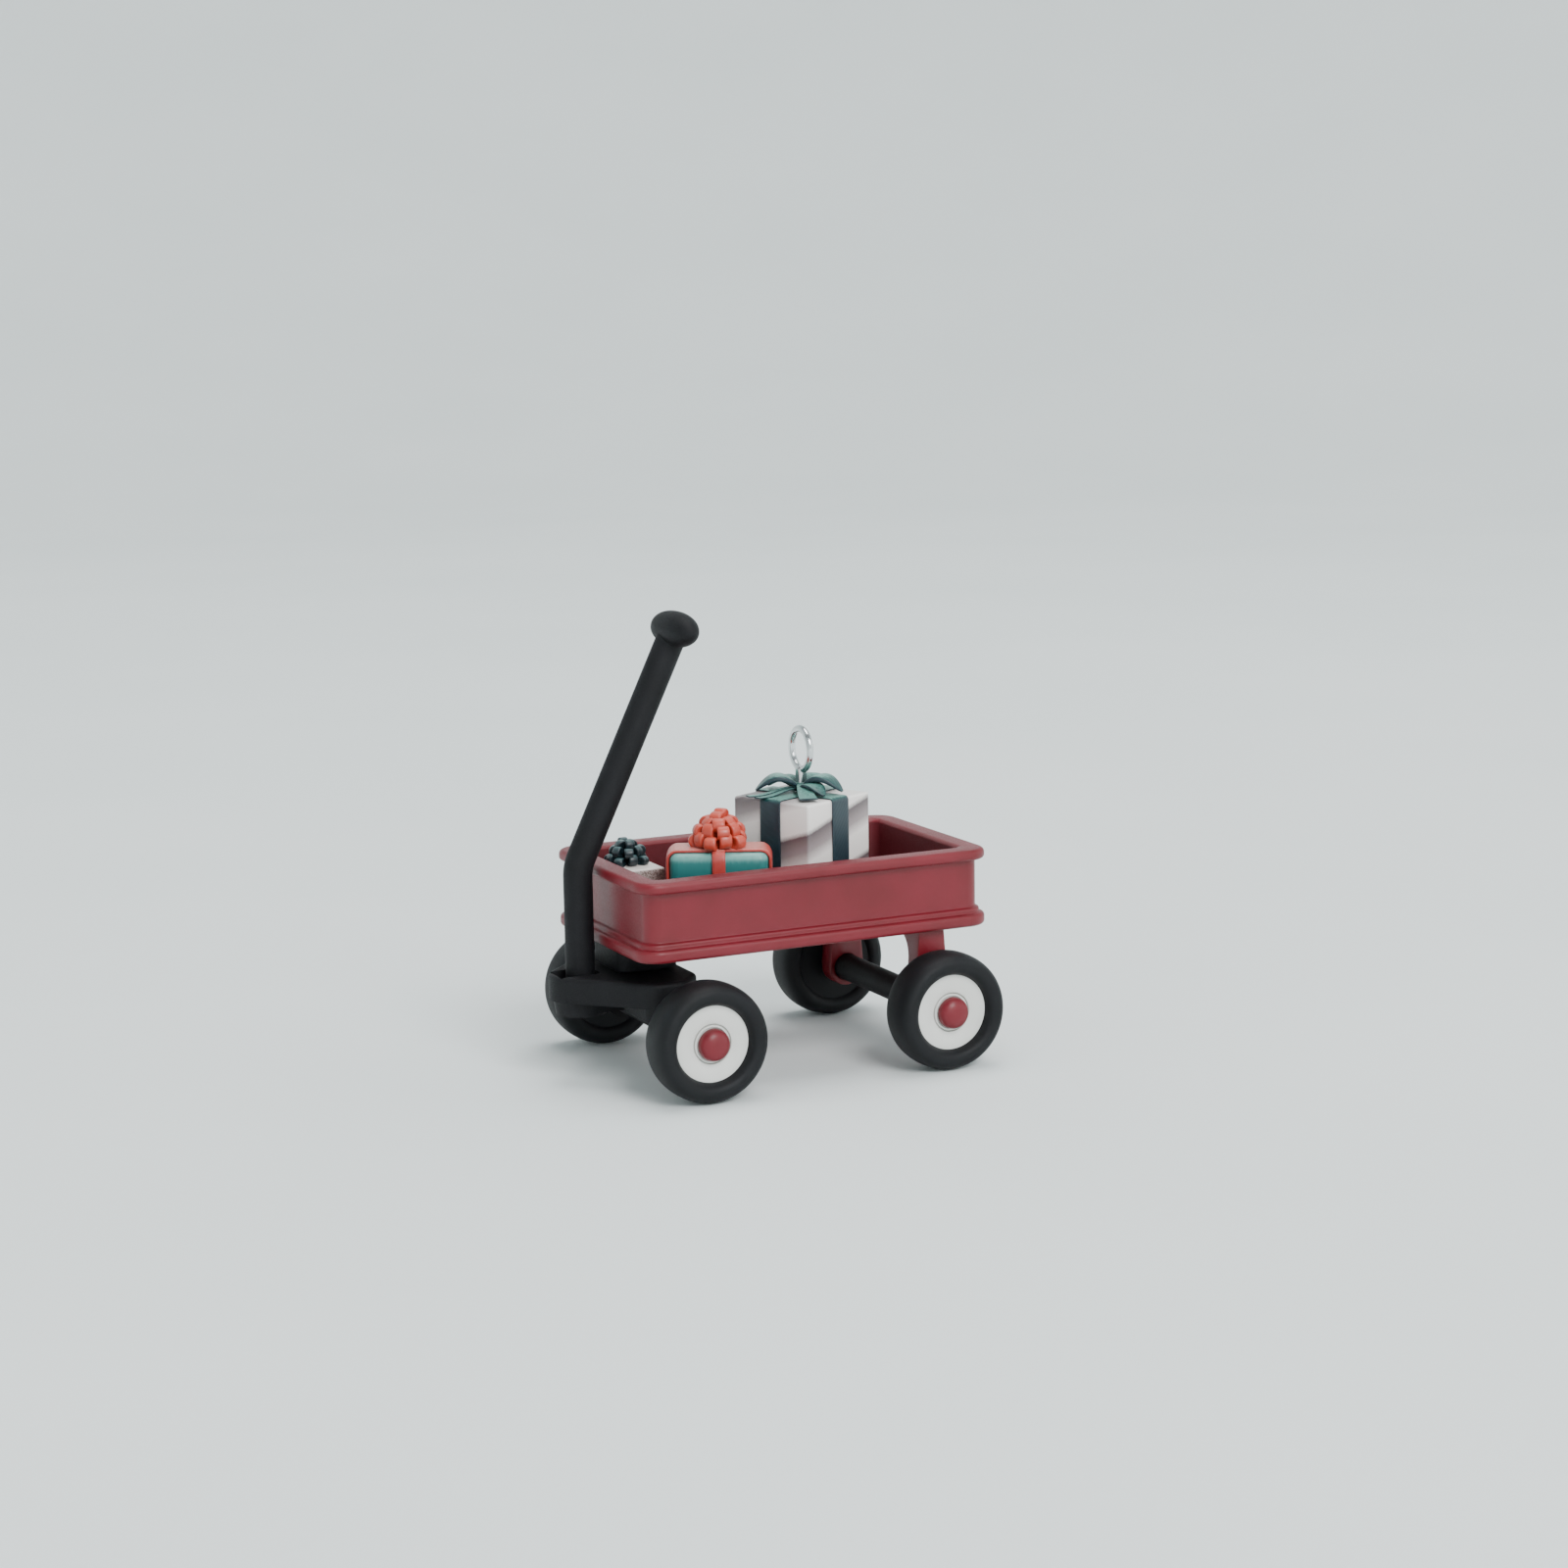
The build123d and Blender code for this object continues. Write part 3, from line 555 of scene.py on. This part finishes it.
# the faces inside the walls, below the rim's rounding, have the duller red, darker as painted shade
shell.data.materials.append(painted_shade_red)
centres = np.empty(3 * len(shell.data.polygons), np.float32)
shell.data.polygons.foreach_get("center", centres)
centres = centres.reshape(-1, 3)
offsets = np.abs(centres[:, :2] - tray_middle[:2])
inside = np.all(offsets < tray_size[:2] / 2 - INNER_IN + 0.05 * MM, axis=1)
inside &= (centres[:, 2] > FLOOR_TOP - 0.1 * MM) & (centres[:, 2] < rim - 0.5 * MM)
# the darker red on these faces is painted shade for the tray's unlit inside
shell.data.polygons.foreach_set("material_index", inside.astype(np.int32))

# ---------------------------------------------------------------- running gear mouldings
EDGE, YOKE_EDGE = 0.14 * MM, 0.22 * MM
softened("rear_axle_bracket", EDGE, red, "wagon")
# the bolster is drawn in black plastic as painted shade, for the deep shade it sits in under the tray's
# front
softened("front_bolster", EDGE, black, "wagon")
softened("steering_yoke", YOKE_EDGE, black, "front_steering")

# ---------------------------------------------------------------- wheels
BORE = 0.75 * MM
TYRE_HALF_THICK, TYRE_OVAL = 0.86 * MM, 2.5
TYRE_START, TYRE_END = -2.28, 3.0  # radians round the tyre's section, from the web to the disc's seat
WEB_IN = 0.35 * MM
DISC_EDGE = 0.05 * MM
# the disc's face from its flat inwards, as (radius, height over the flat): a fine groove round the
# hub, a low raised ring and the seat of the hub cap
DISC_FACE = np.array(
    [
        (1.56, 0), (1.52, -0.02), (1.51, -0.26), (1.42, -0.26), (1.41, -0.03), (1.37, 0.02),
        (1.28, 0.02), (1.24, -0.02), (1.24, -0.1), (BORE / MM, -0.1),
    ]
) * MM
CAP_WALL, CAP_OVAL = 0.2 * MM, 2.25
for place in ("front_left", "front_right", "rear_left", "rear_right"):
    outward = 1 if place.endswith("left") else -1
    low, high, centre = span("tyre_" + place)
    radius, half_width = (high[2] - low[2]) / 2, (high[1] - low[1]) / 2
    disc_low, disc_high, disc_centre = span("wheel_disc_" + place)
    disc_face = abs(disc_centre[1] - centre[1]) + (disc_high[1] - disc_low[1]) / 2
    disc_back = disc_face - (disc_high[1] - disc_low[1])

    bulge = superellipse(
        (radius - TYRE_HALF_THICK, 0), (TYRE_HALF_THICK, half_width), TYRE_OVAL, TYRE_START, TYRE_END, 64
    )
    tyre_profile = np.concatenate(
        [[(BORE, WEB_IN - half_width)], bulge, [(bulge[-1, 0], disc_back), (BORE, disc_back)]]
    )
    make_piece(
        "tyre_moulding_" + place, [turned(tyre_profile, centre, outward)], rubber,
        "wheel_" + place, ("tyre_" + place,), loops=True,
    )

    disc_radius = (disc_high[2] - disc_low[2]) / 2
    disc_rim = [
        (BORE, disc_back), (disc_radius, disc_back), (disc_radius, disc_face - DISC_EDGE),
        (disc_radius - DISC_EDGE, disc_face),
    ]
    disc_profile = np.concatenate([disc_rim, DISC_FACE + (0, disc_face)])
    make_piece(
        "wheel_face_" + place, [turned(disc_profile, centre, outward)], white,
        "wheel_" + place, ("wheel_disc_" + place,), loops=True,
    )

    cap_low, cap_high, _ = span("hub_cap_" + place)
    cap_radius = (cap_high[2] - cap_low[2]) / 2
    cap_base = min(abs(cap_low[1] - centre[1]), abs(cap_high[1] - centre[1]))
    cap_height = cap_high[1] - cap_low[1]
    dome = superellipse(
        (0, cap_base + CAP_WALL), (cap_radius, cap_height - CAP_WALL), CAP_OVAL, 0, math.pi / 2, 20
    )
    cap_profile = np.concatenate([[(0, cap_base), (cap_radius, cap_base)], dome])
    make_piece(
        "hub_dome_" + place, [turned(cap_profile, centre, outward, steps=64)], red,
        "front_steering" if place.startswith("front") else "wagon", ("hub_cap_" + place,),
    )

# ---------------------------------------------------------------- handle
BEND_Z, BEND_RADIUS = 16.35 * MM, 3.2 * MM
GRIP_OVAL = 2.12
rod_low, rod_high, _ = span("handle_rod")
grip_low, grip_high, grip_middle = span("handle_grip")
rod_radius = (rod_high[1] - rod_low[1]) / 2
upright_x = span("handle_pin")[2][0]
foot = np.array([upright_x, 0, rod_low[2] + rod_radius])
rod_path = round_corners(
    [foot, (upright_x, 0, BEND_Z), (grip_middle[0], 0, grip_middle[2])], [BEND_RADIUS], steps=24
)
ease = np.linspace(0, math.pi / 2, 9)[:-1]
round_end = foot - np.cos(ease)[:, None] * np.array([0, 0, rod_radius])
rod_path = np.concatenate([round_end, rod_path])
rod_radii = np.concatenate([rod_radius * np.sin(ease), np.full(len(rod_path) - len(ease), rod_radius)])
rod = tube(rod_path, rod_radii, (0, 1, 0))
make_piece("handle_stem", [rod], black, "handle", ("handle_rod",))

half_grip = np.array([grip_high[2] - grip_low[2], grip_high[1] - grip_low[1]]) / 2
egg = superellipse((0, 0), half_grip, GRIP_OVAL, -math.pi / 2, math.pi / 2, 48)
make_piece(
    "handle_egg", [turned(egg, grip_middle, 1, steps=64)], black, "handle",
    ("handle_grip",),
)


# ---------------------------------------------------------------- gifts
def gift_box(length, width, low_z, high_z, edge, steps=8):
    """A wrapped box about the Z axis: level rounded rectangles whose inset at the foot and the top
    follows a quarter circle, inset = r (1 - sin t) at a height r (1 - cos t) from the end."""
    t = np.linspace(0, math.pi / 2, steps + 1)
    inset = edge * np.concatenate([1 - np.sin(t), 1 - np.sin(t[::-1])])
    height = np.concatenate([low_z + edge * (1 - np.cos(t)), high_z - edge * (1 - np.cos(t[::-1]))])
    rings = rounded_rings(length - 2 * inset, width - 2 * inset, 1.2 * edge - inset, steps=steps)
    heights = np.broadcast_to(height[:, None, None], (*rings.shape[:2], 1))
    return np.concatenate([rings, heights], axis=-1)


def strap(half, low_z, high_z, width, thickness, edge, across):
    """A ribbon that rises one side of a box, crosses its top and falls down the other side. It runs
    along X, or along Y where across is true."""
    reach, top_z = half + thickness / 2, high_z + thickness / 2
    path = round_corners(
        [(reach, 0, low_z), (reach, 0, top_z), (-reach, 0, top_z), (-reach, 0, low_z)],
        [edge + thickness / 2] * 2, steps=10,
    )
    strip = band(path, (0, 1, 0), width, thickness)
    return turn_about_z(strip, 90) if across else strip


def set_down(grids, turn, place):
    """Turns grids about the Z axis, then moves them to a place in plan."""
    return [turn_about_z(grid, turn) + np.array([place[0], place[1], 0]) for grid in grids]


def leaf(reach, height, width, lift, steps=36):
    """A puffed loop of ribbon in the XZ plane, a leaf in plan. Along s, from the knot to the tip, it
    rises as z = lift + H sin(pi s), spreads as w = W sin(pi s^0.8)^0.6, and its thickness swells as
    t = 0.1 mm + 0.45 H sin(pi s)."""
    s = np.linspace(0.03, 0.985, steps)
    arch = np.sin(math.pi * s)
    path = np.stack([reach * s, 0 * s, lift + height * arch], axis=-1)
    spread = width * np.sin(math.pi * s**0.8) ** 0.6
    return band(path, (0, 1, 0), spread, 0.1 * MM + 0.45 * height * arch, steps=8)


def ribbon_tail(reach, start, end, width, steps=30):
    """A flat ribbon tail in the XZ plane that falls from the knot as z = start + (end - start) s and
    waves by 0.1 mm sin(2 pi s) on its way out. Its width grows as W (0.45 + 0.55 s^0.5)."""
    s = np.linspace(0, 1, steps)
    z = start + (end - start) * s + 0.1 * MM * np.sin(2 * math.pi * s)
    path = np.stack([reach * s, 0 * s, z], axis=-1)
    return band(path, (0, 1, 0), width * (0.45 + 0.55 * s**0.5), 0.13 * MM, steps=6)


def cluster(tiers, size, place):
    """A pompom of small moulded loops about a place: each tier is (how many, first turn, tilt up,
    length as a share of size, height of its root as a share of size). Every second loop of a tier is
    a little longer, thinner and lower."""
    grids = []
    for count, first, tilt, length, root in tiers:
        for index in range(count):
            odd = index % 2
            reach = size * length * (1 + 0.12 * odd)
            loop = petal(reach, 0.85 * size * (1 - 0.1 * odd), 0.92 * size)
            loop = turn_about_z(tilt_up(loop, tilt - 7 * odd), first + 360 * index / count)
            grids.append(loop + np.array([0, 0, root * size]) + np.array(place))
    return grids


BOX_FOOT = 11.48 * MM  # just under the tray's floor
UNDERLAP = 0.02 * MM  # how far the lower of two crossing straps lies under the other

LARGE_TURN, LARGE_SIDE, LARGE_EDGE = 24.8, 7.45 * MM, 0.22 * MM
_, large_high, large_middle = span("gift_large_box")
large_place, large_top = large_middle[:2], large_high[2]
make_piece(
    "large_gift_wrap",
    set_down([gift_box(LARGE_SIDE, LARGE_SIDE, BOX_FOOT, large_top, LARGE_EDGE)], LARGE_TURN, large_place),
    pearl, "wagon", ("gift_large_box",),
)
RIBBON, RIBBON_THICK = 1.95 * MM, 0.16 * MM
straps = [
    strap(LARGE_SIDE / 2, BOX_FOOT, large_top - UNDERLAP, RIBBON, RIBBON_THICK, LARGE_EDGE, False),
    strap(LARGE_SIDE / 2, BOX_FOOT, large_top, RIBBON, RIBBON_THICK, LARGE_EDGE, True),
]
make_piece(
    "large_gift_straps", set_down(straps, LARGE_TURN, large_place), green, "wagon",
    ("gift_large_ribbon",),
)

# the large gift's bow, in degrees and millimetres: loops (turn, reach, height, width, lift) and flat
# tails (turn, reach, start height, end height, width), about a domed knot
BOW_LOOPS = (
    (-18, 3.6, 1.0, 2.0, 0.2), (97, 3.2, 0.6, 1.6, 0.1), (126, 3.6, 1.0, 1.9, 0.22),
    (175, 3.2, 0.8, 1.8, 0.15), (222, 3.4, 0.85, 1.9, 0.15), (295, 3.3, 0.8, 1.8, 0.15),
)
BOW_TAILS = (
    (3, 4.7, 0.42, 0.1, 0.62), (15, 4.5, 0.3, 0.08, 0.62), (72, 4.1, 0.6, 0.12, 1.45),
    (255, 3.9, 0.4, 0.1, 1.1),
)
KNOT_RADIUS, KNOT_HALF, KNOT_OVAL = 0.72 * MM, 0.42 * MM, 2.4
bow_z = large_top + RIBBON_THICK
bow = [turn_about_z(leaf(*(MM * np.array(sizes))), turn) for turn, *sizes in BOW_LOOPS]
bow += [turn_about_z(ribbon_tail(*(MM * np.array(sizes))), turn) for turn, *sizes in BOW_TAILS]
knot = superellipse((0, KNOT_HALF), (KNOT_RADIUS, KNOT_HALF), KNOT_OVAL, -math.pi / 2, math.pi / 2, 20)
bow.append(turned(knot, (0, 0, 0), 1, steps=40)[..., [0, 2, 1]])
make_piece(
    "large_gift_bow_loops", [grid + np.array([*large_place, bow_z]) for grid in bow], green, "wagon",
    ("gift_large_bow",), sharp=50,
)

MIDDLE_TURN, MIDDLE_LENGTH, MIDDLE_WIDTH, MIDDLE_EDGE = -25.7, 7.4 * MM, 4.2 * MM, 0.6 * MM
_, middle_high, middle_centre = span("gift_middle_box")
middle_top = middle_high[2]
make_piece(
    "middle_gift_wrap",
    set_down(
        [gift_box(MIDDLE_LENGTH, MIDDLE_WIDTH, BOX_FOOT, middle_top, MIDDLE_EDGE)],
        MIDDLE_TURN, middle_centre,
    ),
    teal_foil("teal_foil_paper", BOX_FOOT, middle_top), "wagon", ("gift_middle_box",),
)
CORAL_WIDE, CORAL_NARROW, CORAL_THICK = 3.1 * MM, 1.0 * MM, 0.3 * MM
straps = [
    strap(
        MIDDLE_LENGTH / 2, BOX_FOOT, middle_top - UNDERLAP, CORAL_WIDE, CORAL_THICK, MIDDLE_EDGE, False
    ),
    strap(MIDDLE_WIDTH / 2, BOX_FOOT, middle_top, CORAL_NARROW, CORAL_THICK, MIDDLE_EDGE, True),
]
make_piece(
    "middle_gift_straps", set_down(straps, MIDDLE_TURN, middle_centre), coral, "wagon",
    ("gift_middle_ribbon",),
)

SMALL_EDGE = 0.25 * MM
small_low, small_high, small_centre = span("gift_small_box")
small_length, small_width, _ = small_high - small_low
small_top = small_high[2]
make_piece(
    "small_gift_wrap",
    set_down([gift_box(small_length, small_width, BOX_FOOT, small_top, SMALL_EDGE)], 0, small_centre),
    speckle, "wagon", ("gift_small_box",),
)

# the pompoms: tiers as cluster() takes them, and the size of a loop
CORAL_TIERS = (
    (10, 10, 6, 1.5, 0.3), (8, 32, 27, 1.35, 0.46), (6, 5, 50, 1.22, 0.55), (2, 40, 80, 1.3, 0.6),
)
CORAL_LOOP = 1.38 * MM
make_piece(
    "middle_gift_pompom",
    cluster(CORAL_TIERS, CORAL_LOOP, (*middle_centre[:2], middle_top + CORAL_THICK)),
    coral_bow, "wagon", ("gift_middle_bow",), sharp=60,
)
GREEN_TIERS = ((8, 0, 8, 1.6, 0.26), (7, 25, 34, 1.5, 0.4), (4, 0, 66, 1.45, 0.5))
GREEN_LOOP = 1.0 * MM
make_piece(
    "small_gift_pompom", cluster(GREEN_TIERS, GREEN_LOOP, (*small_centre[:2], small_top)), dark_green,
    "wagon", ("gift_small_bow",), sharp=60,
)

# ---------------------------------------------------------------- hanging eye
RING_OUTER = 1.85 * MM
RING_SHARE = 0.82  # the ring's wire against the stem's
eye_low, eye_high, _ = span("hanging_eye")
wire_radius = (eye_high[0] - eye_low[0]) / 2
ring_wire = RING_SHARE * wire_radius
ring_z = eye_high[2] - RING_OUTER
circle = superellipse((RING_OUTER - ring_wire, 0), (ring_wire, ring_wire), 2, 0, 2 * math.pi, 33)[:-1]
ring = turned(circle, (0, 0, 0), 1, steps=96)[..., [1, 0, 2]] + np.array([*large_place, ring_z])
make_piece("eye_ring", [ring], wire, "wagon", ("hanging_eye",), loops=True)

# the stem swells where it leaves the knot and again where it meets the ring
neck_z = ring_z - RING_OUTER + wire_radius
stem_z = np.array([eye_low[2], bow_z, bow_z + 0.5 * MM, bow_z + 0.9 * MM, neck_z, neck_z + 0.2 * MM])
stem_path = np.stack([0 * stem_z + large_place[0], 0 * stem_z + large_place[1], stem_z], axis=-1)
stem_radii = wire_radius * np.array([1, 1.5, 1.25, 1.3, 1.45, 0.8])
make_piece("eye_stem", [tube(stem_path, stem_radii, (0, 1, 0))], wire, "wagon")

# ---------------------------------------------------------------- floor, light, camera
# the floor is a bowl: flat in the middle, then a quarter circle up to a steep rim, with no edge in view
FLAT_RADIUS, SWEEP_RADIUS, BOWL_RIM = 0.5, 0.5, (1.0, 1.6)
sweep = superellipse(
    (FLAT_RADIUS, SWEEP_RADIUS), (SWEEP_RADIUS, SWEEP_RADIUS), 2, -math.pi / 2, 0, 24
)
bowl_profile = np.concatenate([[(0, 0)], sweep, [BOWL_RIM]])
bowl = turned(bowl_profile, (0, 0, 0), 1, steps=128)[..., [0, 2, 1]]
rows, columns = bowl.shape[:2]
floor_mesh = bpy.data.meshes.new("floor")
floor_mesh.from_pydata(
    bowl.reshape(-1, 3).tolist(), [], grid_faces(rows, columns, False, True, 0).tolist()
)
floor_mesh.polygons.foreach_set("use_smooth", np.ones(len(floor_mesh.polygons), bool))
floor_mesh.materials.append(studio_paper("pale_studio_paper"))
floor = bpy.data.objects.new("floor", floor_mesh)
bpy.context.scene.collection.objects.link(floor)

world = bpy.data.worlds.new("studio")
bpy.context.scene.world = world
world.use_nodes = True
world.node_tree.nodes["Background"].inputs["Color"].default_value = colour("#dfe4e6")
world.node_tree.nodes["Background"].inputs["Strength"].default_value = 0.55

# round soft lamps: name, place and diameter in metres, power in watts
LAMPS = (
    ("key", (-0.034, 0.68, 0.578), 0.41, 6.3),
    ("top", (-0.1, -0.1, 0.935), 0.61, 5.6),
    ("fill", (-0.68, 0.34, 0.272), 0.51, 0.8),
)
LAMP_AIM = Vector((-4.7 * MM, -3.2 * MM, 14 * MM))
for name, place, size, power in LAMPS:
    lamp = bpy.data.lights.new(name, "AREA")
    lamp.shape, lamp.size, lamp.energy = "DISK", size, power
    light = bpy.data.objects.new(name, lamp)
    bpy.context.scene.collection.objects.link(light)
    light.location = place
    light.rotation_mode = "QUATERNION"
    light.rotation_quaternion = (LAMP_AIM - Vector(place)).to_track_quat("-Z", "Y")

# the camera stands at a place in metres and looks back along its azimuth and elevation in degrees
CAMERA_PLACE, FOCAL_LENGTH, SENSOR_WIDTH = (0.0993635, 0.2133051, 0.0617423), 72.04, 36.0
AZIMUTH, ELEVATION, ROLL = (math.radians(angle) for angle in (154.341, 9.75, -0.856))
back = Vector(
    (
        math.sin(AZIMUTH) * math.cos(ELEVATION),
        -math.cos(AZIMUTH) * math.cos(ELEVATION),
        math.sin(ELEVATION),
    )
)
level = Vector((0, 0, 1)).cross(back).normalized()
upright = back.cross(level)
right = math.cos(ROLL) * level + math.sin(ROLL) * upright
up = math.cos(ROLL) * upright - math.sin(ROLL) * level
lens = bpy.data.cameras.new("camera")
lens.lens, lens.sensor_width = FOCAL_LENGTH, SENSOR_WIDTH
lens.clip_start, lens.clip_end = 0.005, 5.0
camera = bpy.data.objects.new("camera", lens)
bpy.context.scene.collection.objects.link(camera)
turned_back = Matrix((right, up, back)).transposed().to_4x4()
camera.matrix_world = Matrix.Translation(CAMERA_PLACE) @ turned_back
bpy.context.scene.camera = camera
